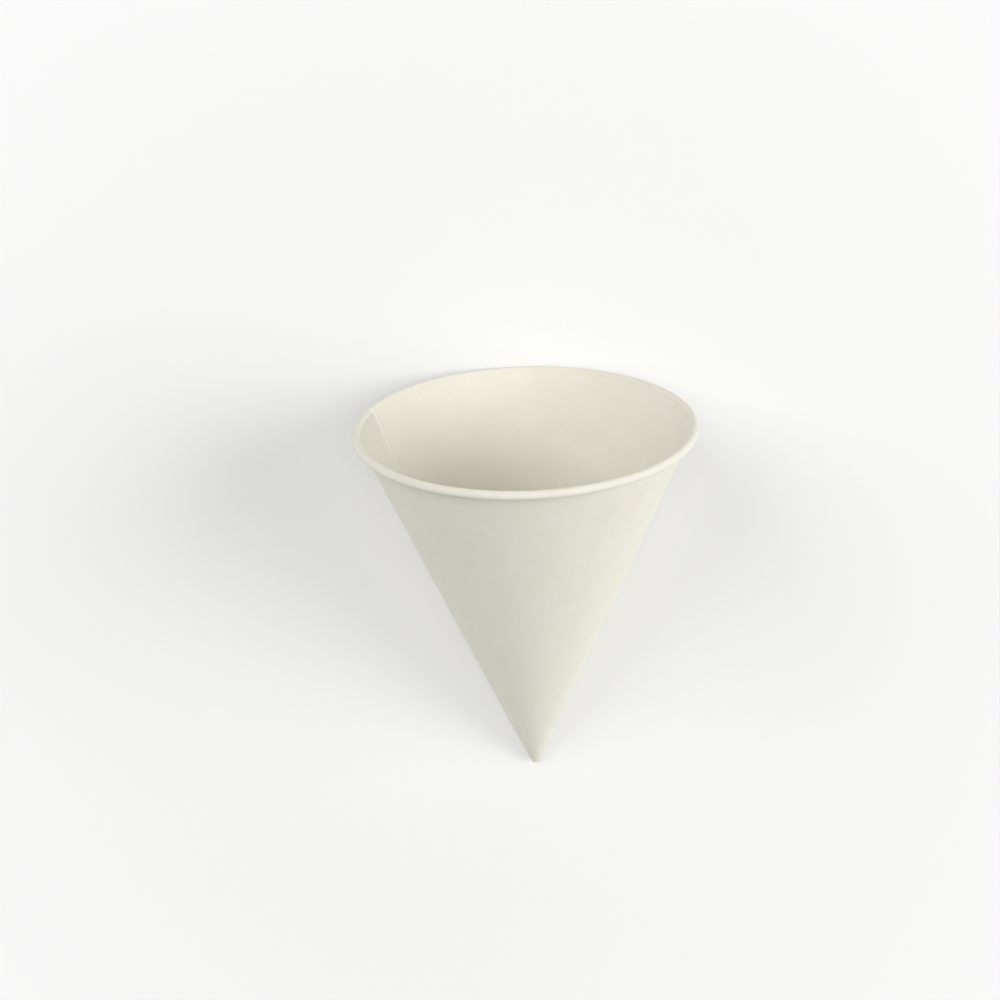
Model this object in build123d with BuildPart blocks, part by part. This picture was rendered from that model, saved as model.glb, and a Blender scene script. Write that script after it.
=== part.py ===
from build123d import *
from math import acos, asin, atan2, cos, degrees, hypot, radians, sin, sqrt
import os

# A cone paper cup of 4.0 US fluid ounces to the brim, in millimetres.
#
# One paper blank is wound into a cone, nearly one and a half turns, and glued to itself where it overlaps.
# Its top edge is rolled outwards into a tight bead, and its lower end is pressed shut into a solid point.
# The cup lies on its side as it comes to rest, with the heavier overlap underneath and the mouth facing +Y.
# It lies on two small flat spots, one on the bead and one on the wall where the pressed point ends. The origin
# is on the floor, under the middle of the cup's length.
#
# The cup's own directions are written as an azimuth about the cone's axis, anticlockwise as seen from the
# mouth: 0 is towards +X, and 90 is the side that lies on the floor.

# Cone, measured on the inside face of the paper
mouth_radius = 34.7         # where the wall meets the rolled rim
cone_depth = 90.7           # from the cone's sharp inside point up to there

# Paper and its glued overlap
paper = 0.2                 # thickness
inner_edge_azimuth = 161.0  # where the cut edge on the inside runs up the wall
overlap_angle = 146.0       # from there back round to the cut edge on the outside

# Rolled rim
bead_radius = 0.9           # outside radius of the roll
bead_inset = 0.12           # how far the roll bulges inside the line of the wall
curl_gap = 0.15             # between the roll's hidden edge and the wall under it
bead_flat = 0.3             # how far the roll is flattened where it lies on the floor

# Pressed point
nose_radius = 1.0           # rounding of the point
tip_fill = 5.5              # height of the solid floor above the cone's sharp inside point
tip_dish = 0.5              # how far the floor rises to the wall
press_length = 10.0         # the layers are pressed together up to this height
press_flat = 0.1            # how far the wall is flattened there, where it lies on the floor

# The wall's slope, and the width of one layer of paper along the radius
slope = mouth_radius / cone_depth
half_angle = atan2(mouth_radius, cone_depth)
layer = paper / cos(half_angle)

# Centre of the roll, seen in a section through the axis: distance from the axis, height along it
crease_rise = sqrt(bead_radius**2 - (bead_radius - bead_inset) ** 2)
roll_centre_radius = (
    mouth_radius + crease_rise * sin(half_angle) + (bead_radius - bead_inset) * cos(half_angle)
)
roll_centre_height = (
    cone_depth + crease_rise * cos(half_angle) - (bead_radius - bead_inset) * sin(half_angle)
)

# The pressed point is a cone from the sharp inside point out to the overlap's outer face, with a round nose
press_slope = slope + 2 * layer / press_length
press_angle = atan2(press_slope, 1)
nose_height = nose_radius / sin(press_angle)

# Rest: at azimuth 90 the floor flattens the roll, and the corner of the wall where the pressed point ends
press_radius = press_slope * press_length
span_width = roll_centre_radius - press_radius
span_height = roll_centre_height - press_length
roll_clearance = bead_radius - bead_flat
span_rise = asin((roll_clearance + press_flat) / hypot(span_width, span_height))
axis_tilt = atan2(span_width, span_height) + span_rise
apex_lift = press_radius * cos(axis_tilt) - press_length * sin(axis_tilt) - press_flat
back_y = nose_height * cos(axis_tilt) - nose_radius
front_y = roll_centre_height * cos(axis_tilt) + roll_centre_radius * sin(axis_tilt) + bead_radius
resting = Plane(
    origin=(0, -(back_y + front_y) / 2, apex_lift),
    x_dir=(1, 0, 0),
    z_dir=(0, cos(axis_tilt), sin(axis_tilt)),
)


def outwards(azimuth):
    """Direction square to the cone's axis at an azimuth."""
    return resting.x_dir * cos(radians(azimuth)) + resting.y_dir * sin(radians(azimuth))


def section_plane(centre, azimuth):
    """Plane through the axis, with x outwards and y up the axis towards the mouth."""
    return Plane(origin=centre, x_dir=outwards(azimuth), z_dir=outwards(azimuth).cross(resting.z_dir))


def paper_section(plane, layers, shift):
    """Cut through the wound paper and its roll: so many layers thick, and moved outwards by shift."""
    thickness = layers * paper
    start_height = layer / slope
    roll_centre = Vector(roll_centre_radius + shift, roll_centre_height)
    # Direction from the roll's centre square to the wall, and angles from it down to the crease on the inside
    # and to the paper's edge, which ends the roll's outer turn under the bead
    towards_wall = 180 - degrees(half_angle)
    crease = degrees(acos((bead_radius - bead_inset) / bead_radius))
    paper_edge = degrees(acos((bead_radius - bead_inset - 2 * paper - curl_gap) / bead_radius))
    wall_distance = bead_radius - bead_inset - thickness
    groove_width = wall_distance - (bead_radius - thickness) * cos(radians(paper_edge))
    with BuildSketch(plane) as section:
        with BuildLine():
            wall_top = (mouth_radius + shift, cone_depth)
            inside = Line((start_height * slope + shift, start_height), wall_top)
            roll = CenterArc(roll_centre, bead_radius, towards_wall + crease, paper_edge - crease - 360)
            cut_edge = PolarLine(roll @ 1, thickness, direction=roll_centre - roll @ 1)
            groove = PolarLine(cut_edge @ 1, groove_width, angle=towards_wall)
            outside_foot = inside @ 0 + Vector(layers * layer, 0)
            Polyline(groove @ 1, outside_foot, inside @ 0)
        make_face()
    return section.sketch


# The overlap is centred on the cone's axis. Half a turn of single paper after the inner edge is centred half
# a layer to that edge's side, so it leaves the overlap as the outer layer and comes back to it as the inner.
overlap_start = inner_edge_azimuth - overlap_angle
half_turn = 180.0
cone_axis = Axis(resting.origin, resting.z_dir)
shifted_centre = resting.origin + outwards(inner_edge_azimuth) * (layer / 2)
shifted_axis = Axis(shifted_centre, resting.z_dir)

with BuildPart() as paper_cup:
    # Overlap, two layers thick, from the cut edge on the outside to the cut edge on the inside
    overlap = paper_section(section_plane(resting.origin, overlap_start), layers=2, shift=0)
    revolve(overlap, axis=cone_axis, revolution_arc=overlap_angle)

    # Single paper, half a turn from the inner edge, moving inwards by one layer as it goes
    closing = paper_section(section_plane(shifted_centre, inner_edge_azimuth), layers=1, shift=layer / 2)
    revolve(closing, axis=shifted_axis, revolution_arc=half_turn)

    # Single paper for the rest of the turn, up to the cut edge on the outside
    single = paper_section(section_plane(resting.origin, inner_edge_azimuth + half_turn), layers=1, shift=0)
    revolve(single, axis=cone_axis, revolution_arc=360 - half_turn - overlap_angle)

    # Solid floor of the point, sunk to the middle of the paper all round
    with BuildSketch(section_plane(shifted_centre, inner_edge_azimuth)):
        with BuildLine():
            low_rim = (2 * layer, layer / slope)
            high_rim = ((tip_fill + tip_dish) * slope + layer, tip_fill + tip_dish)
            floor = TangentArc((0, tip_fill), high_rim, tangent=(1, 0))
            Polyline(high_rim, low_rim, (0, layer / slope), floor @ 0)
        make_face()
    revolve(axis=shifted_axis)

    # The point is pressed to one cone with a round nose, which takes the steps of the layers away
    with BuildSketch(section_plane(resting.origin, overlap_start)):
        with BuildLine():
            press_end = press_length + paper
            nose = CenterArc((0, nose_height), nose_radius, -90, 90 - degrees(press_angle))
            Polyline(
                nose @ 1,
                (press_end * press_slope, press_end),
                (2 * press_end * press_slope, press_end),
                (2 * press_end * press_slope, 0),
                (0, 0),
                nose @ 0,
            )
        make_face()
    revolve(axis=cone_axis, mode=Mode.SUBTRACT)

    # Flat spots where the bead and the wall lie on the floor
    with BuildSketch(Plane.XY):
        Rectangle(mouth_radius, front_y - back_y)
    extrude(amount=-bead_radius, mode=Mode.SUBTRACT)

paper_cup.part.label = "paper_cup"
os.makedirs("parts", exist_ok=True)
export_step(paper_cup.part, "parts/paper_cup.step")
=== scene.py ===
"""Looks of a cone paper cup that lies on its side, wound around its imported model. All sizes are in metres."""

import math

import bpy
from bpy.props import FloatProperty, FloatVectorProperty, IntProperty, PointerProperty
from mathutils import Matrix, Vector


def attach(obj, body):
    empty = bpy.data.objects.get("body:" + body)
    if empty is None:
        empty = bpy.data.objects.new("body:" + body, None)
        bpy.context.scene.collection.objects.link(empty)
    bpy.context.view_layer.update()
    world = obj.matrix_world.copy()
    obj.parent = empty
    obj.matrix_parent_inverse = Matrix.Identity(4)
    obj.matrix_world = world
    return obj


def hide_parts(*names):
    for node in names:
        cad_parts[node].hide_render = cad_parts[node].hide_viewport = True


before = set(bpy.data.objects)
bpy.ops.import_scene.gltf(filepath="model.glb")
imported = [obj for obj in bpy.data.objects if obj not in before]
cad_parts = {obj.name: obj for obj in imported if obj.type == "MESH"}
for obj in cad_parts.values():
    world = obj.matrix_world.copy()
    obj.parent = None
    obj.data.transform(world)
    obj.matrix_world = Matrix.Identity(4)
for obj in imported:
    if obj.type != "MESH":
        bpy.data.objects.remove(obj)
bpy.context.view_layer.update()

bl_info = {
    "name": "Cone Paper Cup",
    "version": (1, 0, 0),
    "blender": (4, 5, 0),
    "location": "View3D > Sidebar > Paper Cup",
    "description": "Winds a cone cup from one blank of white paper and sets it on a pale stage",
    "category": "Add Mesh",
}

MM = 0.001

# Steps along each stretch of the section, in order from the middle of the bottom to the end of the point
BOTTOM_STEPS = 10
INSIDE_STEPS = 56
BEND_STEPS = 5
ROLL_STEPS = 40
GROOVE_STEPS = 3
OUTSIDE_STEPS = 52
PRESSED_STEPS = 5
POINT_STEPS = 4
NOSE_STEPS = 8

JOIN_DISTANCE = 2e-7  # points this close are one
CORNER_ANGLE = math.radians(42.0)  # edges that turn by more stay sharp
FLOOR_LIMIT = (-1.0, -1.0, 0.0)  # nothing lies below the floor, and nothing reaches a metre along x or y

# Soft waves in the wall
WALL_WAVES = 45.0  # to the metre
WAVES_FULL = 3.0  # height at which they are full, in lengths of the pressed point
WAVES_FADE = 0.6  # height from which they fade, as a share of the cone's depth

# Gathers in the rim
FINE_GATHERS = 620.0  # to the metre
FINE_STRETCH = (1.0, 1.0, 0.25)  # the fine ones run on along the axis
BROAD_GATHERS = 130.0  # to the metre

# Creases at the point, from a noise that is read round a ring
CREASE_NOISE = 2.6
CREASE_DETAIL = 1.5
CREASE_RING = 1.3  # the ring's radius in the noise
CREASE_START = (3.1, 0.7, 0.0)  # the ring's middle in the noise
CREASE_LEAN = 90.0  # how far the ring turns over a metre of height, in radians
CREASE_SHARPNESS = 9.0  # how narrow the valleys are
CREASES_FULL = 0.35  # height up to which they are full, as a share of the pressed point's length
CREASES_GONE = 1.4  # height from which there are none, as a share of it

# Paper
FIBRE_ANGLES = (0.45, -0.6)  # directions in which its fibres cross, in radians
FIBRE_SPAN = (0.65, 1.35)  # two noises added, from no fibre to a full one
CLOUD_SPAN = (0.3, 0.7)  # one noise, from no cloud to a full one
CLOUD_HEIGHT = 0.6  # beside a fibre's 1
BARE_TONE = 0.975
FIBRE_TONE = 0.035  # how much lighter a fibre is
BARE_ROUGHNESS = 0.60
FIBRE_ROUGHNESS = 0.12  # how much rougher a fibre is
PAPER_IOR = 1.42
PAPER_SPECULAR = 0.3
SEAM_SHADE_CURVE = 1.5  # how fast the painted shade beside the inner edge grows towards the rim
CUT_SPAN = (0.85, 0.98)  # the mark is so high only on the face between both sides of a cut edge

# Floor
FLOOR_CLOUDS = 3.0  # to the metre
FLOOR_TONE = 0.995
FLOOR_TONE_SPAN = 0.01
FLOOR_ROUGHNESS = 0.9
FLOOR_SPECULAR = 0.2

# Camera
SENSOR_WIDTH = 36.0  # in millimetres, as camera makers give it
CLIP_START = 10 * MM

WHITE = (1.0, 1.0, 1.0, 1.0)


class CupSizes(bpy.types.PropertyGroup):
    """Sizes of the cup. Azimuths turn about the cone's axis, and 90 degrees is the side on the floor"""

    mouth_radius: FloatProperty(
        name="Mouth Radius", description="Inside radius where the wall meets the rolled rim",
        default=34.7 * MM, min=1 * MM, unit="LENGTH", subtype="DISTANCE")
    cone_depth: FloatProperty(
        name="Cone Depth", description="Height of that line above the cone's sharp inside point",
        default=90.7 * MM, min=1 * MM, unit="LENGTH", subtype="DISTANCE")
    paper: FloatProperty(
        name="Paper", description="Thickness of the paper",
        default=0.2 * MM, min=0.01 * MM, precision=5, unit="LENGTH", subtype="DISTANCE")
    inner_edge: FloatProperty(
        name="Inner Edge", description="Azimuth of the cut edge that shows inside the cup",
        default=math.radians(161.0), unit="ROTATION", subtype="ANGLE")
    overlap: FloatProperty(
        name="Overlap", description="How far the paper lies double, back round to the cut edge outside",
        default=math.radians(146.0), unit="ROTATION", subtype="ANGLE")
    drape: FloatProperty(
        name="Drape", description="How far round the single paper takes to come down off the inner edge",
        default=math.radians(8.0), unit="ROTATION", subtype="ANGLE")
    edge_ramp: FloatProperty(
        name="Edge Ramp", description="How far round the inner edge slopes, where the press has rounded it",
        default=math.radians(0.3), unit="ROTATION", subtype="ANGLE")
    # Painted shade on single paper beside the inner edge: how far round it reaches, and how far down the wall
    # from the rim
    seam_shade_turn: FloatProperty(
        name="Thin Turn", description="How far round from the inner edge single paper looks thinner",
        default=math.radians(80.0), unit="ROTATION", subtype="ANGLE")
    seam_shade_length: FloatProperty(
        name="Thin Length", description="How far down the wall from the rim it looks thinner",
        default=9.6 * MM, min=1 * MM, unit="LENGTH", subtype="DISTANCE")
    bead_radius: FloatProperty(
        name="Bead Radius", description="Outside radius of the rolled rim",
        default=0.9 * MM, precision=5, unit="LENGTH", subtype="DISTANCE")
    bead_inset: FloatProperty(
        name="Bead Inset", description="How far the roll bulges inside the line of the wall",
        default=0.12 * MM, precision=5, unit="LENGTH", subtype="DISTANCE")
    bend_radius: FloatProperty(
        name="Bend Radius", description="Radius of the soft bend from the wall into the roll",
        default=0.5 * MM, precision=5, unit="LENGTH", subtype="DISTANCE")
    curl_gap: FloatProperty(
        name="Curl Gap", description="Gap between the roll's hidden edge and the double wall",
        default=0.15 * MM, precision=5, unit="LENGTH", subtype="DISTANCE")
    bead_flat: FloatProperty(
        name="Bead Flat", description="How far the roll is flattened where it lies on the floor",
        default=0.3 * MM, precision=5, unit="LENGTH", subtype="DISTANCE")
    nose_radius: FloatProperty(
        name="Nose Radius", description="Rounding of the pressed point",
        default=1.0 * MM, precision=5, unit="LENGTH", subtype="DISTANCE")
    tip_fill: FloatProperty(
        name="Tip Fill", description="Height of the closed round bottom above the cone's sharp inside point",
        default=5.5 * MM, precision=5, unit="LENGTH", subtype="DISTANCE")
    press_length: FloatProperty(
        name="Press Length", description="The layers are pressed together up to this height",
        default=10.0 * MM, unit="LENGTH", subtype="DISTANCE")
    press_flat: FloatProperty(
        name="Press Flat", description="How far the wall is flattened there, where it lies on the floor",
        default=0.1 * MM, precision=5, unit="LENGTH", subtype="DISTANCE")
    double_columns: IntProperty(
        name="Double Columns", description="Steps round the overlap", default=208, min=8)
    single_columns: IntProperty(
        name="Single Columns", description="Steps round the rest of the turn", default=304, min=8)
    waviness: FloatProperty(
        name="Waviness", description="Depth of the soft waves that handling leaves in the wall",
        default=0.15 * MM, precision=5, unit="LENGTH", subtype="DISTANCE")
    point_creases: FloatProperty(
        name="Point Creases", description="Depth of the fine creases that pressing leaves round the point",
        default=0.05 * MM, precision=6, unit="LENGTH", subtype="DISTANCE")
    pucker: FloatProperty(
        name="Pucker", description="Depth of the fine gathers that rolling leaves in the rim",
        default=0.025 * MM, precision=6, unit="LENGTH", subtype="DISTANCE")


class PaperFinish(bpy.types.PropertyGroup):
    """Colours and grain of the white paper, with painted shade and highlight at its seams"""

    colour: FloatVectorProperty(
        name="Paper", description="Colour of the paper where its fibres lie evenly",
        default=(0.826, 0.807, 0.711), size=3, min=0.0, max=1.0, subtype="COLOR")
    cloud_colour: FloatVectorProperty(
        name="Clouds", description="Colour where its fibres gather into soft clouds",
        default=(0.811, 0.787, 0.686), size=3, min=0.0, max=1.0, subtype="COLOR")
    # A cut edge's raw fibres are lighter, and this colour is raised further as a painted highlight where the
    # edge catches light
    edge_fibre_and_highlight_colour: FloatVectorProperty(
        name="Cut Edge", description="Colour of the raw fibres on a cut edge",
        default=(0.895, 0.88, 0.80), size=3, min=0.0, max=1.0, subtype="COLOR")
    # Painted shade, as of the step's small shadow, at the foot of a cut edge
    edge_shade: FloatProperty(
        name="Edge Shade", description="How much darker the paper is at the foot of a straight cut edge",
        default=0.10, min=0.0, max=1.0, subtype="FACTOR")
    # Painted shade: how much darker single paper is beside the inner edge, at the rim
    painted_seam_shade: FloatProperty(
        name="Seam Shade", description="Light that single paper lets through at the top of the inner edge",
        default=0.15, min=0.0, max=1.0, subtype="FACTOR")
    fibre_length: FloatProperty(
        name="Fibre Length", description="Length of the grain that the fibres make",
        default=1.1 * MM, precision=5, unit="LENGTH", subtype="DISTANCE")
    fibre_width: FloatProperty(
        name="Fibre Width", description="Width of that grain",
        default=0.32 * MM, precision=5, unit="LENGTH", subtype="DISTANCE")
    cloud_size: FloatProperty(
        name="Cloud Size", description="Width of the soft clouds in the paper",
        default=7.0 * MM, precision=5, unit="LENGTH", subtype="DISTANCE")
    relief: FloatProperty(
        name="Relief", description="Height of the grain on the surface",
        default=0.012 * MM, precision=6, unit="LENGTH", subtype="DISTANCE")


class StageSettings(bpy.types.PropertyGroup):
    """Floor, lamps and camera"""

    floor_colour: FloatVectorProperty(
        name="Floor", description="Colour of the plain floor",
        default=(0.87, 0.87, 0.865), size=3, min=0.0, max=1.0, subtype="COLOR")
    floor_width: FloatProperty(
        name="Floor Width", description="Side of the square floor",
        default=12.0, unit="LENGTH", subtype="DISTANCE")
    fade_start: FloatProperty(
        name="Fade Start", description="How far from the middle the floor starts to fade to white",
        default=0.06, unit="LENGTH", subtype="DISTANCE")
    fade_end: FloatProperty(
        name="Fade End", description="How far from the middle the floor is as white as the backdrop",
        default=0.28, unit="LENGTH", subtype="DISTANCE")
    sky_strength: FloatProperty(
        name="Sky Strength", description="Light that comes evenly from all round",
        default=0.2, min=0.0)
    backdrop_strength: FloatProperty(
        name="Backdrop Strength", description="How bright the empty backdrop looks, where 1 is white",
        default=1.0, min=0.0)
    lamp_width: FloatProperty(
        name="Lamp Width", description="Side of each of the three square lamps",
        default=1.33, unit="LENGTH", subtype="DISTANCE")
    top_place: FloatVectorProperty(
        name="Top Lamp Place", description="Where the lamp overhead hangs",
        default=(0.0, 0.0, 2.0), size=3, subtype="TRANSLATION", unit="LENGTH")
    top_power: FloatProperty(
        name="Top Lamp Power", description="Power of the lamp overhead",
        default=13.2, min=0.0, unit="POWER")
    side_place: FloatVectorProperty(
        name="Side Lamp Place", description="Where the lamp to the right of the cup stands",
        default=(1.732, 0.0, 1.0), size=3, subtype="TRANSLATION", unit="LENGTH")
    side_power: FloatProperty(
        name="Side Lamp Power", description="Power of the lamp to the right of the cup",
        default=26.3, min=0.0, unit="POWER")
    mouth_place: FloatVectorProperty(
        name="Mouth Lamp Place", description="Where the lamp in front of the mouth stands",
        default=(-1.225, 0.707, 1.414), size=3, subtype="TRANSLATION", unit="LENGTH")
    mouth_power: FloatProperty(
        name="Mouth Lamp Power", description="Power of the lamp in front of the mouth",
        default=16.4, min=0.0, unit="POWER")
    camera_place: FloatVectorProperty(
        name="Camera Place", description="Where the camera stands",
        default=(-0.00582, 0.03377, 0.26756), size=3, subtype="TRANSLATION", unit="LENGTH")
    camera_ahead: FloatVectorProperty(
        name="Camera Ahead", description="Direction in which the camera looks",
        default=(-0.00027, -0.06462, -0.99791), size=3, subtype="DIRECTION")
    camera_right: FloatVectorProperty(
        name="Camera Right", description="Direction that lies to the right in the picture",
        default=(0.99903, -0.04389, 0.00257), size=3, subtype="DIRECTION")
    lens: FloatProperty(
        name="Lens", description="Focal length in millimetres, for a sensor 36 mm wide", default=39.6)


# The cut through the wound paper


def steps(start, stop, count):
    """Values from start to stop in so many equal steps, without start itself."""
    return [start + (stop - start) * (k + 1) / count for k in range(count)]


def direction(angle):
    """Unit vector at an angle, in the section."""
    return Vector((math.cos(angle), math.sin(angle)))


class Section:
    """The cut through single paper, from the middle of the bottom round the rim and down to the point.

    A point is its distance from the axis and its height. raised is how it moves where the paper lies one
    layer further out, and doubled is how it moves where there is a second layer. run is the place along
    the blank.
    """

    def __init__(self):
        self.points, self.raised, self.doubled = [], [], []
        self.run, self.outside, self.cut_edge, self.rim = [], [], [], []

    def add(self, point, raised=(0, 0), doubled=(0, 0), run=0.0, outside=0.0, cut_edge=0.0, rim=0.0):
        self.points.append(point)
        self.raised.append(raised)
        self.doubled.append(doubled)
        self.run.append(run)
        self.outside.append(outside)
        self.cut_edge.append(cut_edge)
        self.rim.append(rim)

    def mesh(self, name):
        """The section as a line of edges with its values as attributes, x outwards and z up the axis."""
        upright = [(r, 0.0, h) for r, h in self.points]
        made = bpy.data.meshes.new(name)
        made.from_pydata(upright, [(k, k + 1) for k in range(len(upright) - 1)], [])
        for key in ("raised", "doubled"):
            attribute = made.attributes.new(key, "FLOAT_VECTOR", "POINT")
            moves = [part for r, h in getattr(self, key) for part in (r, 0.0, h)]
            attribute.data.foreach_set("vector", moves)
        for key in ("run", "outside", "cut_edge", "rim"):
            attribute = made.attributes.new(key, "FLOAT", "POINT")
            attribute.data.foreach_set("value", getattr(self, key))
        return made


def cup_section(cup):
    """Lays out the section from the cup's sizes, and gives it with how the cup lies."""
    slope = cup.mouth_radius / cup.cone_depth
    half_angle = math.atan(slope)
    layer = cup.paper / math.cos(half_angle)
    section = Section()

    # Closed bottom in the point, round and running smoothly into the wall
    bottom_middle = Vector((0, cup.tip_fill / (1 - math.sin(half_angle))))
    bottom_radius = bottom_middle.y - cup.tip_fill
    bottom_run = (bottom_middle.y - bottom_radius * math.sin(half_angle)) / math.cos(half_angle)
    section.add((0, cup.tip_fill), run=bottom_run)
    for angle in steps(-math.pi / 2, -half_angle, BOTTOM_STEPS):
        point = bottom_middle + bottom_radius * direction(angle)
        section.add(point, raised=(layer * math.cos(angle), 0), run=bottom_run)
    bottom_top = point.y

    # Centre of the rolled rim, and of the soft bend from the wall into it
    wall_reach = cup.bead_radius - cup.bead_inset
    crease_rise = math.sqrt(cup.bead_radius**2 - wall_reach**2)
    centre = Vector((
        cup.mouth_radius + crease_rise * math.sin(half_angle) + wall_reach * math.cos(half_angle),
        cup.cone_depth + crease_rise * math.cos(half_angle) - wall_reach * math.sin(half_angle)))
    to_wall = math.pi - half_angle
    bend_turn = math.acos((wall_reach + cup.bend_radius) / (cup.bead_radius + cup.bend_radius))
    bend_centre = centre + (cup.bead_radius + cup.bend_radius) * direction(to_wall + bend_turn)
    wall_top = bend_centre - cup.bend_radius * direction(to_wall)

    # Inside of the wall, then the bend
    for height in steps(bottom_top, wall_top.y, INSIDE_STEPS):
        section.add((slope * height, height), raised=(layer, 0), run=height / math.cos(half_angle))
    wall_run = wall_top.y / math.cos(half_angle)
    for turn in steps(0, bend_turn, BEND_STEPS):
        section.add(bend_centre - cup.bend_radius * direction(to_wall + turn), raised=(layer, 0),
                    run=wall_run + cup.bend_radius * turn)

    # Rolled rim. Its outer reach stays where the paper lies further out, because the roll is pressed round
    paper_edge = math.acos((wall_reach - 2 * cup.paper - cup.curl_gap) / cup.bead_radius)
    roll_run = wall_run + cup.bend_radius * bend_turn
    start, stop = to_wall + bend_turn, to_wall + paper_edge - 2 * math.pi
    for angle in steps(start, stop, ROLL_STEPS):
        out = direction(angle)
        section.add(centre + cup.bead_radius * out, raised=layer / 2 * (Vector((1, 0)) - out),
                    run=roll_run + cup.bead_radius * (start - angle), rim=1.0)

    # Hidden edge of the roll, and the groove between it and the wall
    section.cut_edge[-1] = 1.0
    rim_run = section.run[-1]
    raised = section.raised[-1]
    edge_end = centre + (cup.bead_radius - cup.paper) * out
    section.add(edge_end, raised, -cup.paper * out, run=rim_run, outside=1.0, cut_edge=1.0, rim=1.0)

    def groove_foot(layers):
        """Where the groove meets the wall, which is so many layers thick."""
        inner = cup.bead_radius - layers * cup.paper
        width = wall_reach - layers * cup.paper - inner * math.cos(paper_edge)
        return centre + inner * out + width * direction(to_wall)

    foot, double_foot = groove_foot(1), groove_foot(2)
    for share in steps(0, 1, GROOVE_STEPS):
        section.add(edge_end.lerp(foot, share), Vector(raised).lerp(Vector((layer, 0)), share),
                    (-cup.paper * out).lerp(double_foot - foot, share),
                    run=foot.y / math.cos(half_angle), outside=1.0, rim=1.0 - share)

    # Outside of the wall, down to where all layers are one
    pressed = cup.press_length / 2
    heights = [foot.y - cup.paper] + steps(foot.y - cup.paper, cup.press_length, OUTSIDE_STEPS)
    heights += steps(cup.press_length, pressed, PRESSED_STEPS)
    for height in heights:
        loose = min(1.0, height / pressed - 1.0)
        section.add((slope * height + layer, height), (layer * loose, 0), (layer * loose, 0),
                    run=height / math.cos(half_angle), outside=1.0)

    # Pressed point with its round nose
    press_slope = slope + 2 * layer / cup.press_length
    press_angle = math.atan(press_slope)
    nose_height = cup.nose_radius / math.sin(press_angle)
    for height in steps(pressed, nose_height - cup.nose_radius * math.sin(press_angle), POINT_STEPS):
        section.add((press_slope * height, height), run=height / math.cos(half_angle), outside=1.0)
    for angle in steps(-press_angle, -math.pi / 2, NOSE_STEPS):
        point = cup.nose_radius * direction(angle) + Vector((0, nose_height))
        section.add(point, run=point.y / math.cos(half_angle), outside=1.0)
    section.points[-1] = (0.0, nose_height - cup.nose_radius)  # exactly on the axis, where all columns join
    return section, resting_place(cup, centre, nose_height, press_slope)


def resting_place(cup, centre, nose_height, press_slope):
    """How the cup lies on its roll and on the wall where the pressed point ends.

    Gives the tilt of the axis, and where the cone's sharp inside point is.
    """
    press_end = Vector((press_slope * cup.press_length, cup.press_length))
    span = centre - press_end
    rise = cup.bead_radius - cup.bead_flat + cup.press_flat
    tilt = math.atan2(span.x, span.y) + math.asin(rise / span.length)
    back = nose_height * math.cos(tilt) - cup.nose_radius
    front = centre.y * math.cos(tilt) + centre.x * math.sin(tilt) + cup.bead_radius
    lift = press_end.x * math.cos(tilt) - press_end.y * math.sin(tilt) - cup.press_flat
    return tilt, Vector((0, -(back + front) / 2, lift))


# Nodes


def add_node(tree, kind, inputs=None, **settings):
    """Adds a node, with its settings, and links or sets its inputs by name or number."""
    made = tree.nodes.new(kind)
    for name, value in settings.items():
        setattr(made, name, value)
    for name, value in (inputs or {}).items():
        if isinstance(value, bpy.types.NodeSocket):
            tree.links.new(value, made.inputs[name])
        else:
            made.inputs[name].default_value = value
    return made


def maths(tree, operation, *values, clamp=False):
    """A Math node's result."""
    made = add_node(tree, "ShaderNodeMath", dict(enumerate(values)), operation=operation, use_clamp=clamp)
    return made.outputs[0]


def product(tree, first, *others):
    """Values multiplied with each other."""
    for other in others:
        first = maths(tree, "MULTIPLY", first, other)
    return first


def rest_of_one(tree, value):
    """What is missing from a value to 1."""
    return maths(tree, "SUBTRACT", 1.0, value)


def whole(tree, operation, *values):
    """An Integer Math node's result."""
    return add_node(tree, "FunctionNodeIntegerMath", dict(enumerate(values)), operation=operation).outputs[0]


def compare_whole(tree, operation, first, second):
    """Whether a comparison of whole numbers holds."""
    return add_node(tree, "FunctionNodeCompare", {"A": first, "B": second},
                    data_type="INT", operation=operation).outputs[0]


def vectors(tree, operation, *values, scale=None):
    """A Vector Math node's result."""
    inputs = dict(enumerate(values))
    if scale is not None:
        inputs["Scale"] = scale
    return add_node(tree, "ShaderNodeVectorMath", inputs, operation=operation).outputs["Vector"]


def turn_about_axis(tree, place, angle):
    """A place turned about the z axis."""
    return add_node(tree, "ShaderNodeVectorRotate", {"Vector": place, "Angle": angle},
                    rotation_type="Z_AXIS").outputs[0]


def choose(tree, question, no, yes):
    """A Switch node's result, for numbers."""
    return add_node(tree, "GeometryNodeSwitch", {"Switch": question, "False": no, "True": yes},
                    input_type="FLOAT").outputs[0]


def noise_value(tree, place, scale, detail=2.0, roughness=0.5):
    """A smooth noise from 0 to 1, with so many waves to each unit of place."""
    return add_node(tree, "ShaderNodeTexNoise", {
        "Vector": place, "Scale": scale, "Detail": detail, "Roughness": roughness}).outputs[0]


def fade(tree, value, start, stop):
    """0 at start and 1 at stop, with a soft turn at both."""
    return add_node(tree, "ShaderNodeMapRange", {"Value": value, "From Min": start, "From Max": stop},
                    interpolation_type="SMOOTHSTEP").outputs[0]


def position(tree):
    """Where a point is."""
    return add_node(tree, "GeometryNodeInputPosition").outputs[0]


def named_value(tree, name, kind="FLOAT"):
    """A point's value of a named attribute."""
    return add_node(tree, "GeometryNodeInputNamedAttribute", {"Name": name}, data_type=kind).outputs[0]


def open_tree(name, inputs, outputs):
    """A new geometry tree with named inputs and outputs, and its two end nodes."""
    tree = bpy.data.node_groups.new(name, "GeometryNodeTree")
    for way, sockets in (("INPUT", inputs), ("OUTPUT", outputs)):
        for label, kind in sockets:
            tree.interface.new_socket(label, in_out=way, socket_type="NodeSocket" + kind)
    return tree, tree.nodes.new("NodeGroupInput").outputs, tree.nodes.new("NodeGroupOutput").inputs


# Winding


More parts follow.
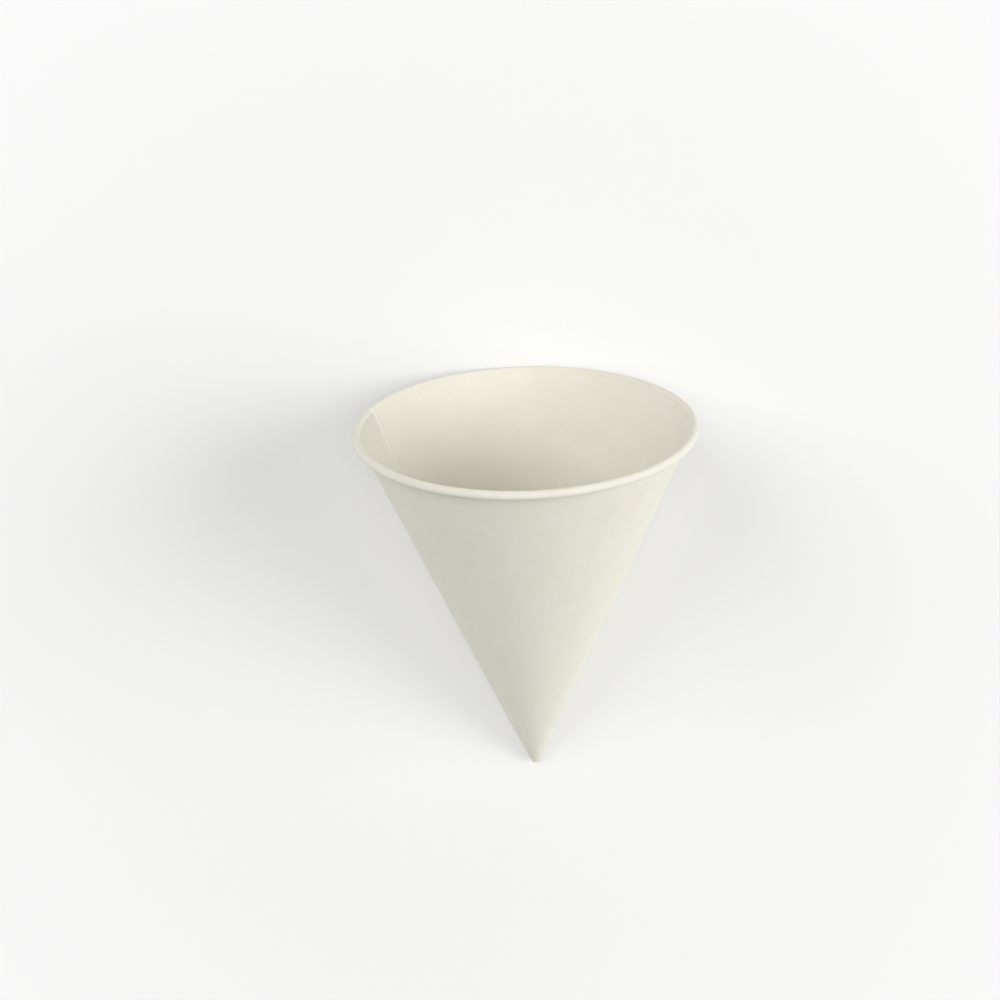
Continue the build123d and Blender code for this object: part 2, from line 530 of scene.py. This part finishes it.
def section_grid(tree, given):
    """A grid with a row for each point of the section and a column for each step round the axis.

    The inner edge has two columns, and the last column lies on the first again, so both cut edges get a face.
    Gives the grid, each point's row and column, and the number of columns in a turn.
    """
    rows = add_node(tree, "GeometryNodeAttributeDomainSize", {"Geometry": given["Section"]},
                    component="MESH").outputs["Point Count"]
    turn_columns = whole(tree, "ADD", whole(tree, "ADD", given["Double Columns"], given["Single Columns"]), 2)
    grid = add_node(tree, "GeometryNodeMeshGrid", {
        "Vertices X": whole(tree, "ADD", turn_columns, 1), "Vertices Y": rows}).outputs["Mesh"]
    index = add_node(tree, "GeometryNodeInputIndex").outputs[0]
    row = whole(tree, "MODULO", index, rows)
    column = whole(tree, "MODULO", whole(tree, "DIVIDE", index, rows), turn_columns)
    return grid, row, column, turn_columns


def wound_attributes(tree, given, sample, column, turn_columns, azimuth, past_ramp, is_single):
    """What the paper's look needs to know of each point: name, kind and value."""
    outside, run = sample("outside"), sample("run")
    inside = rest_of_one(tree, outside)

    # Where the point was on the flat blank, for the grain
    wound_back = maths(tree, "SUBTRACT", maths(tree, "ADD", given["Inner Edge"], math.tau), azimuth)
    inner_turn = choose(tree, is_single, maths(tree, "MULTIPLY", math.tau, inside), 0.0)
    blank_turn = maths(tree, "MULTIPLY", maths(tree, "SUBTRACT", wound_back, inner_turn),
                       maths(tree, "SINE", given["Half Angle"]))
    blank = add_node(tree, "ShaderNodeCombineXYZ", {
        "X": maths(tree, "MULTIPLY", run, maths(tree, "COSINE", blank_turn)),
        "Y": maths(tree, "MULTIPLY", run, maths(tree, "SINE", blank_turn)),
        "Z": outside}).outputs[0]

    # Both sides of a cut edge are marked, so that only the face between them is marked all over: the columns
    # of the inner edge on the inside, and those of the outer edge on the outside
    inner_foot = compare_whole(tree, "EQUAL", column, whole(tree, "ADD", given["Double Columns"], 1))
    outer_foot = compare_whole(tree, "EQUAL", column, whole(tree, "SUBTRACT", turn_columns, 1))
    inner_cut = maths(tree, "ADD", compare_whole(tree, "EQUAL", column, given["Double Columns"]), inner_foot)
    outer_cut = maths(tree, "ADD", compare_whole(tree, "EQUAL", column, 0), outer_foot)

    def by_side(within, without):
        """One value on the inside of the cup and another on the outside."""
        return maths(tree, "ADD", product(tree, within, inside), product(tree, without, outside))

    cut = maths(tree, "MAXIMUM", sample("cut_edge"), by_side(inner_cut, outer_cut))

    # Where painted shade darkens single paper: on the inside, most at the inner edge, and up to the bend into
    # the roll
    below_rim = maths(tree, "SUBTRACT", given["Wall Length"], run)
    near_rim = rest_of_one(tree, maths(tree, "DIVIDE", below_rim, given["Thin Length"], clamp=True))
    bend_end = maths(tree, "ADD", given["Wall Length"], given["Bend Radius"])
    in_roll = fade(tree, run, given["Wall Length"], bend_end)
    near_edge = rest_of_one(tree, fade(tree, past_ramp, 0.0, given["Thin Turn"]))
    thin = product(tree, choose(tree, is_single, 0.0, maths(tree, "MULTIPLY", near_edge, inside)),
                   maths(tree, "POWER", near_rim, SEAM_SHADE_CURVE), rest_of_one(tree, in_roll))

    return (("blank", "FLOAT_VECTOR", blank), ("cut_edge", "FLOAT", cut),
            ("edge_foot", "FLOAT", by_side(inner_foot, outer_foot)), ("thin", "FLOAT", thin),
            ("rim", "FLOAT", sample("rim")), ("outside", "FLOAT", outside))


def soft_relief(tree, given):
    """How far handling, rolling and pressing have moved the paper."""
    place = position(tree)
    height = add_node(tree, "ShaderNodeSeparateXYZ", {"Vector": place}).outputs["Z"]
    outwards = vectors(tree, "NORMALIZE", vectors(tree, "MULTIPLY", place, (1.0, 1.0, 0.0)))
    press_length, cone_depth = given["Press Length"], given["Cone Depth"]

    # Soft waves in the wall, from -1 to 1 times the waviness, away from its ends
    rising = fade(tree, height, press_length, maths(tree, "MULTIPLY", press_length, WAVES_FULL))
    dying = fade(tree, height, maths(tree, "MULTIPLY", cone_depth, WAVES_FADE), cone_depth)
    wave = maths(tree, "SUBTRACT", noise_value(tree, place, WALL_WAVES, detail=1.0), 0.5)
    wave = product(tree, wave, 2.0, given["Waviness"], rising, rest_of_one(tree, dying))

    # Fine gathers round the roll, which only ever press it in
    fine = noise_value(tree, vectors(tree, "MULTIPLY", place, FINE_STRETCH), FINE_GATHERS)
    broad = noise_value(tree, place, BROAD_GATHERS, detail=1.0)
    gathers = product(tree, maths(tree, "ADD", fine, broad), given["Pucker"], named_value(tree, "rim"))

    # Creases that run down to the point and lean with the winding
    around = vectors(tree, "SCALE", outwards, scale=CREASE_RING)
    lean = turn_about_axis(tree, around, maths(tree, "MULTIPLY", height, CREASE_LEAN))
    valley = noise_value(tree, vectors(tree, "ADD", lean, CREASE_START), CREASE_NOISE, detail=CREASE_DETAIL)
    valley = maths(tree, "MULTIPLY", maths(tree, "SUBTRACT", valley, 0.5), CREASE_SHARPNESS)
    valley = rest_of_one(tree, maths(tree, "ABSOLUTE", valley, clamp=True))
    off_point = fade(tree, height, maths(tree, "MULTIPLY", press_length, CREASES_FULL),
                     maths(tree, "MULTIPLY", press_length, CREASES_GONE))
    creases = product(tree, valley, rest_of_one(tree, off_point), named_value(tree, "outside"),
                      given["Point Creases"])

    normal = add_node(tree, "GeometryNodeInputNormal").outputs[0]
    return vectors(tree, "SUBTRACT", vectors(tree, "SCALE", outwards, scale=wave),
                   vectors(tree, "SCALE", normal, scale=maths(tree, "ADD", gathers, creases)))


def winding_tree():
    """Winds a section round the cone's axis, double over the overlap, and lays the cup down."""
    tree, given, result = open_tree("Wound Paper Cup", [
        ("Section", "Geometry"), ("Double Columns", "Int"), ("Single Columns", "Int"),
        ("Inner Edge", "Float"), ("Overlap", "Float"), ("Drape", "Float"), ("Edge Ramp", "Float"),
        ("Half Angle", "Float"), ("Press Length", "Float"), ("Cone Depth", "Float"), ("Wall Length", "Float"),
        ("Bend Radius", "Float"), ("Thin Turn", "Float"), ("Thin Length", "Float"),
        ("Waviness", "Float"), ("Point Creases", "Float"), ("Pucker", "Float"),
        ("Turn", "Vector"), ("Place", "Vector"), ("Paper", "Material"),
    ], [("Cup", "Geometry")])
    grid, row, column, turn_columns = section_grid(tree, given)

    def sample(name, kind="FLOAT"):
        """What the section holds in the point's row: an attribute, or its place without a name."""
        value = named_value(tree, name, kind) if name else position(tree)
        return add_node(tree, "GeometryNodeSampleIndex", {
            "Geometry": given["Section"], "Value": value, "Index": row}, data_type=kind).outputs[0]

    # Azimuth of each column
    single_column = whole(tree, "SUBTRACT", whole(tree, "SUBTRACT", column, given["Double Columns"]), 1)
    is_single = compare_whole(tree, "GREATER_EQUAL", single_column, 0)
    outer_edge = maths(tree, "SUBTRACT", given["Inner Edge"], given["Overlap"])
    ramp_end = maths(tree, "ADD", given["Inner Edge"], given["Edge Ramp"])
    single_turn = maths(tree, "SUBTRACT", maths(tree, "SUBTRACT", math.tau, given["Overlap"]),
                        given["Edge Ramp"])
    past_ramp = maths(tree, "MULTIPLY", single_turn,
                      maths(tree, "DIVIDE", single_column, given["Single Columns"]))
    in_overlap = maths(tree, "MULTIPLY_ADD", given["Overlap"],
                       maths(tree, "DIVIDE", column, given["Double Columns"]), outer_edge)
    azimuth = choose(tree, is_single, in_overlap, maths(tree, "ADD", ramp_end, past_ramp))

    # Past the inner edge the single paper comes down off it in a soft curve
    come_down = maths(tree, "POWER", rest_of_one(
        tree, maths(tree, "DIVIDE", past_ramp, given["Drape"], clamp=True)), 2.0)
    raised = vectors(tree, "SCALE", sample("raised", "FLOAT_VECTOR"),
                     scale=choose(tree, is_single, 0.0, come_down))
    doubled = vectors(tree, "SCALE", sample("doubled", "FLOAT_VECTOR"),
                      scale=choose(tree, is_single, 1.0, 0.0))
    flat = vectors(tree, "ADD", sample(None, "FLOAT_VECTOR"), vectors(tree, "ADD", raised, doubled))
    geometry = add_node(tree, "GeometryNodeSetPosition", {
        "Geometry": grid, "Position": turn_about_axis(tree, flat, azimuth)}).outputs[0]
    geometry = add_node(tree, "GeometryNodeFlipFaces", {"Mesh": geometry}).outputs[0]
    for name, kind, value in wound_attributes(
            tree, given, sample, column, turn_columns, azimuth, past_ramp, is_single):
        geometry = add_node(tree, "GeometryNodeStoreNamedAttribute", {
            "Geometry": geometry, "Name": name, "Value": value}, data_type=kind, domain="POINT").outputs[0]

    # Join the columns and the poles, so that the relief moves both sides of a seam alike
    geometry = add_node(tree, "GeometryNodeMergeByDistance", {
        "Geometry": geometry, "Distance": JOIN_DISTANCE}).outputs[0]
    geometry = add_node(tree, "GeometryNodeSetPosition", {
        "Geometry": geometry, "Offset": soft_relief(tree, given)}).outputs[0]

    # Lay the cup down and flatten it where it meets the floor
    geometry = add_node(tree, "GeometryNodeTransform", {
        "Geometry": geometry, "Translation": given["Place"], "Rotation": given["Turn"]}).outputs[0]
    geometry = add_node(tree, "GeometryNodeSetPosition", {
        "Geometry": geometry, "Position": vectors(tree, "MAXIMUM", position(tree), FLOOR_LIMIT)}).outputs[0]

    # Keep the corners of the cut edges sharp
    geometry = add_node(tree, "GeometryNodeSetShadeSmooth", {"Geometry": geometry, "Shade Smooth": True},
                        domain="FACE").outputs[0]
    edge_angle = add_node(tree, "GeometryNodeInputMeshEdgeAngle").outputs["Unsigned Angle"]
    corner = add_node(tree, "FunctionNodeCompare", {"A": edge_angle, "B": CORNER_ANGLE},
                      data_type="FLOAT", operation="GREATER_THAN").outputs[0]
    geometry = add_node(tree, "GeometryNodeSetShadeSmooth", {
        "Geometry": geometry, "Selection": corner, "Shade Smooth": False}, domain="EDGE").outputs[0]
    geometry = add_node(tree, "GeometryNodeRealizeInstances", {"Geometry": geometry}).outputs[0]
    geometry = add_node(tree, "GeometryNodeSetMaterial", {
        "Geometry": geometry, "Material": given["Paper"]}).outputs[0]
    tree.links.new(geometry, result["Cup"])
    return tree


def apply_tree(obj, tree, values):
    """Runs a tree on an object and gives its result as a plain mesh."""
    modifier = obj.modifiers.new(tree.name, "NODES")
    modifier.node_group = tree
    for socket in tree.interface.items_tree:
        if socket.item_type == "SOCKET" and socket.in_out == "INPUT" and socket.name in values:
            modifier[socket.identifier] = values[socket.name]
    bpy.context.view_layer.update()
    result = bpy.data.meshes.new_from_object(obj.evaluated_get(bpy.context.evaluated_depsgraph_get()))
    obj.modifiers.remove(modifier)
    if result.materials[0] is None:  # the empty slot that the grid came with
        result.materials.pop(index=0)
    return result


# Materials


def mix_colours(tree, share, first, second):
    """A colour between two others, each of them linked or plain."""
    first, second = (colour if isinstance(colour, bpy.types.NodeSocket) else (*colour, 1.0)
                     for colour in (first, second))
    mix = tree.nodes.new("ShaderNodeMix")
    mix.data_type = "RGBA"
    sockets = {socket.identifier: socket for socket in mix.inputs}
    for name, value in (("Factor_Float", share), ("A_Color", first), ("B_Color", second)):
        if isinstance(value, bpy.types.NodeSocket):
            tree.links.new(value, sockets[name])
        else:
            sockets[name].default_value = value
    return next(socket for socket in mix.outputs if socket.identifier == "Result_Color")


def paper_grain_group():
    """Shader group for the grain of paper: clouds of fibres, single fibres, and how high both stand."""
    group = bpy.data.node_groups.new("Paper Grain", "ShaderNodeTree")
    for label, kind in (("Place", "Vector"), ("Cloud Size", "Float"), ("Fibre Length", "Float"),
                        ("Fibre Width", "Float")):
        group.interface.new_socket(label, in_out="INPUT", socket_type="NodeSocket" + kind)
    for label in ("Clouds", "Fibres", "Height"):
        group.interface.new_socket(label, in_out="OUTPUT", socket_type="NodeSocketFloat")
    given = group.nodes.new("NodeGroupInput").outputs
    result = group.nodes.new("NodeGroupOutput").inputs

    def waves(size):
        """How many of a size go to the metre."""
        return maths(group, "DIVIDE", 1.0, size)

    clouds = noise_value(group, given["Place"], waves(given["Cloud Size"]), detail=4.0, roughness=0.6)
    clouds = fade(group, clouds, *CLOUD_SPAN)

    # Fibres lie mostly one way, and cross each other
    fineness = add_node(group, "ShaderNodeCombineXYZ", {
        "X": waves(given["Fibre Length"]), "Y": waves(given["Fibre Width"]), "Z": 1.0}).outputs[0]
    crossed = [noise_value(group, vectors(
        group, "MULTIPLY", turn_about_axis(group, given["Place"], angle), fineness),
        1.0, detail=3.0, roughness=0.65) for angle in FIBRE_ANGLES]
    fibres = fade(group, maths(group, "ADD", *crossed), *FIBRE_SPAN)
    group.links.new(clouds, result["Clouds"])
    group.links.new(fibres, result["Fibres"])
    group.links.new(maths(group, "MULTIPLY_ADD", clouds, CLOUD_HEIGHT, fibres), result["Height"])
    return group


def paper_material(finish):
    """Warm white uncoated paper."""
    material = bpy.data.materials.new("cup_paper")
    material.use_nodes = True
    tree = material.node_tree
    shader = tree.nodes["Principled BSDF"]

    def painted(name, output="Fac"):
        """An attribute of the mesh."""
        return add_node(tree, "ShaderNodeAttribute", attribute_name=name).outputs[output]

    grain = add_node(tree, "ShaderNodeGroup", node_tree=paper_grain_group())
    tree.links.new(painted("blank", "Vector"), grain.inputs["Place"])
    grain.inputs["Cloud Size"].default_value = finish.cloud_size
    grain.inputs["Fibre Length"].default_value = finish.fibre_length
    grain.inputs["Fibre Width"].default_value = finish.fibre_width

    # Painted shade darkens the paper a little at the foot of a cut edge, and darkens single paper beside the
    # inner edge near the rim
    cloudy = mix_colours(tree, grain.outputs["Clouds"], finish.colour, finish.cloud_colour)
    tone = product(tree, maths(tree, "MULTIPLY_ADD", grain.outputs["Fibres"], FIBRE_TONE, BARE_TONE),
                   maths(tree, "MULTIPLY_ADD", painted("edge_foot"), -finish.edge_shade, 1.0),
                   maths(tree, "MULTIPLY_ADD", painted("thin"), -finish.painted_seam_shade, 1.0))
    # Cut edges take a lighter colour, partly their raw fibres and partly a painted highlight
    cut = fade(tree, painted("cut_edge"), *CUT_SPAN)
    colour = mix_colours(tree, cut, vectors(tree, "SCALE", cloudy, scale=tone), finish.edge_fibre_and_highlight_colour)
    tree.links.new(colour, shader.inputs["Base Color"])
    tree.links.new(maths(tree, "MULTIPLY_ADD", grain.outputs["Fibres"], FIBRE_ROUGHNESS, BARE_ROUGHNESS),
                   shader.inputs["Roughness"])
    bump = add_node(tree, "ShaderNodeBump", {
        "Height": grain.outputs["Height"], "Distance": finish.relief, "Strength": 1.0})
    tree.links.new(bump.outputs[0], shader.inputs["Normal"])
    shader.inputs["IOR"].default_value = PAPER_IOR
    shader.inputs["Specular IOR Level"].default_value = PAPER_SPECULAR
    return material


def seen_directly(tree):
    """1 for what the camera sees, also in gloss and through glass, and 0 for light that falls on things."""
    ray = add_node(tree, "ShaderNodeLightPath").outputs
    return maths(tree, "MAXIMUM", ray["Is Camera Ray"], maths(
        tree, "MAXIMUM", ray["Is Glossy Ray"], ray["Is Transmission Ray"]))


def floor_material(stage):
    """Plain matt floor, which looks white like the backdrop away from the cup."""
    material = bpy.data.materials.new("studio_floor")
    material.use_nodes = True
    tree = material.node_tree
    shader = tree.nodes["Principled BSDF"]
    place = add_node(tree, "ShaderNodeTexCoord").outputs["Object"]
    tint = maths(tree, "MULTIPLY_ADD", noise_value(tree, place, FLOOR_CLOUDS), FLOOR_TONE_SPAN, FLOOR_TONE)
    tree.links.new(vectors(tree, "SCALE", tuple(stage.floor_colour), scale=tint), shader.inputs["Base Color"])
    shader.inputs["Roughness"].default_value = FLOOR_ROUGHNESS
    shader.inputs["Specular IOR Level"].default_value = FLOOR_SPECULAR

    away = add_node(tree, "ShaderNodeVectorMath", {0: place}, operation="LENGTH").outputs["Value"]
    far = fade(tree, away, stage.fade_start, stage.fade_end)
    whitened = maths(tree, "MULTIPLY", far, seen_directly(tree))
    white = add_node(tree, "ShaderNodeEmission", {
        "Color": WHITE, "Strength": stage.backdrop_strength}).outputs[0]
    shown = add_node(tree, "ShaderNodeMixShader", {0: whitened, 1: shader.outputs[0], 2: white}).outputs[0]
    tree.links.new(shown, tree.nodes["Material Output"].inputs["Surface"])
    return material


# Operators


class PAPERCUP_OT_wind_cup(bpy.types.Operator):
    """Wind the cup from one blank of paper and lay it on the floor"""

    bl_idname = "papercup.wind_cup"
    bl_label = "Wind Paper Cup"
    bl_options = {"REGISTER", "UNDO"}

    def execute(self, context):
        cup = context.scene.papercup_sizes
        section, (tilt, place) = cup_section(cup)
        outline = bpy.data.objects.new("cup_section", section.mesh("cup_section"))
        context.scene.collection.objects.link(outline)
        wound = apply_tree(outline, winding_tree(), {
            "Double Columns": cup.double_columns, "Single Columns": cup.single_columns,
            "Inner Edge": cup.inner_edge, "Overlap": cup.overlap,
            "Drape": cup.drape, "Edge Ramp": cup.edge_ramp,
            "Half Angle": math.atan2(cup.mouth_radius, cup.cone_depth),
            "Press Length": cup.press_length, "Cone Depth": cup.cone_depth,
            "Wall Length": math.hypot(cup.mouth_radius, cup.cone_depth), "Bend Radius": cup.bend_radius,
            "Thin Turn": cup.seam_shade_turn, "Thin Length": cup.seam_shade_length,
            "Waviness": cup.waviness, "Point Creases": cup.point_creases, "Pucker": cup.pucker,
            "Turn": (tilt - math.pi / 2, 0, 0), "Place": place,
            "Paper": paper_material(context.scene.papercup_finish),
        })
        bpy.data.objects.remove(outline)
        wound.name = "wound_paper_cup"
        piece = bpy.data.objects.new("wound_paper_cup", wound)
        context.scene.collection.objects.link(piece)
        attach(piece, "root")
        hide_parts("paper_cup")
        return {"FINISHED"}


class PAPERCUP_OT_set_stage(bpy.types.Operator):
    """Lay the floor, set up the lamps and place the camera"""

    bl_idname = "papercup.set_stage"
    bl_label = "Set Stage"
    bl_options = {"REGISTER", "UNDO"}

    def execute(self, context):
        stage = context.scene.papercup_stage
        link = context.scene.collection.objects.link
        half = stage.floor_width / 2
        corners = [(-half, -half, 0), (half, -half, 0), (half, half, 0), (-half, half, 0)]
        sheet = bpy.data.meshes.new("studio_floor")
        sheet.from_pydata(corners, [], [(0, 1, 2, 3)])
        sheet.materials.append(floor_material(stage))
        floor = bpy.data.objects.new("studio_floor", sheet)
        link(floor)

        for name in ("top", "side", "mouth"):
            light = bpy.data.lights.new(name + "_lamp", "AREA")
            light.energy = getattr(stage, name + "_power")
            light.size = stage.lamp_width
            lamp = bpy.data.objects.new(name + "_lamp", light)
            lamp.location = getattr(stage, name + "_place")
            lamp.rotation_euler = (-lamp.location).to_track_quat("-Z", "Y").to_euler()
            link(lamp)

        world = bpy.data.worlds.new("studio_sky")
        world.use_nodes = True
        tree = world.node_tree
        strength = add_node(tree, "ShaderNodeMix", {
            "Factor": seen_directly(tree), "A": stage.sky_strength, "B": stage.backdrop_strength},
            data_type="FLOAT").outputs[0]
        sky = tree.nodes["Background"]
        sky.inputs["Color"].default_value = WHITE
        tree.links.new(strength, sky.inputs["Strength"])
        context.scene.world = world

        lens = bpy.data.cameras.new("photo_camera")
        lens.lens = stage.lens
        lens.sensor_width = SENSOR_WIDTH
        lens.clip_start = CLIP_START
        camera = bpy.data.objects.new("photo_camera", lens)
        back = -Vector(stage.camera_ahead).normalized()
        up = back.cross(Vector(stage.camera_right)).normalized()
        turned = Matrix((up.cross(back), up, back)).transposed().to_4x4()
        camera.matrix_world = Matrix.Translation(stage.camera_place) @ turned
        link(camera)
        context.scene.camera = camera
        context.scene.view_settings.view_transform = "Standard"
        return {"FINISHED"}


class PAPERCUP_PT_panel(bpy.types.Panel):
    """Sizes, finish and stage of the paper cup"""

    bl_label = "Cone Paper Cup"
    bl_idname = "PAPERCUP_PT_panel"
    bl_space_type = "VIEW_3D"
    bl_region_type = "UI"
    bl_category = "Paper Cup"

    def draw(self, context):
        scene = context.scene
        for groups, operator in (((scene.papercup_sizes, scene.papercup_finish), "papercup.wind_cup"),
                                 ((scene.papercup_stage,), "papercup.set_stage")):
            box = self.layout.box()
            for group in groups:
                for name in group.__annotations__:
                    box.prop(group, name)
            box.operator(operator)


CLASSES = (
    CupSizes, PaperFinish, StageSettings,
    PAPERCUP_OT_wind_cup, PAPERCUP_OT_set_stage, PAPERCUP_PT_panel,
)


def register():
    for cls in CLASSES:
        bpy.utils.register_class(cls)
    bpy.types.Scene.papercup_sizes = PointerProperty(type=CupSizes)
    bpy.types.Scene.papercup_finish = PointerProperty(type=PaperFinish)
    bpy.types.Scene.papercup_stage = PointerProperty(type=StageSettings)


def unregister():
    del bpy.types.Scene.papercup_stage
    del bpy.types.Scene.papercup_finish
    del bpy.types.Scene.papercup_sizes
    for cls in reversed(CLASSES):
        bpy.utils.unregister_class(cls)


def main():
    register()
    bpy.ops.papercup.set_stage()
    bpy.ops.papercup.wind_cup()


if __name__ == "__main__":
    main()
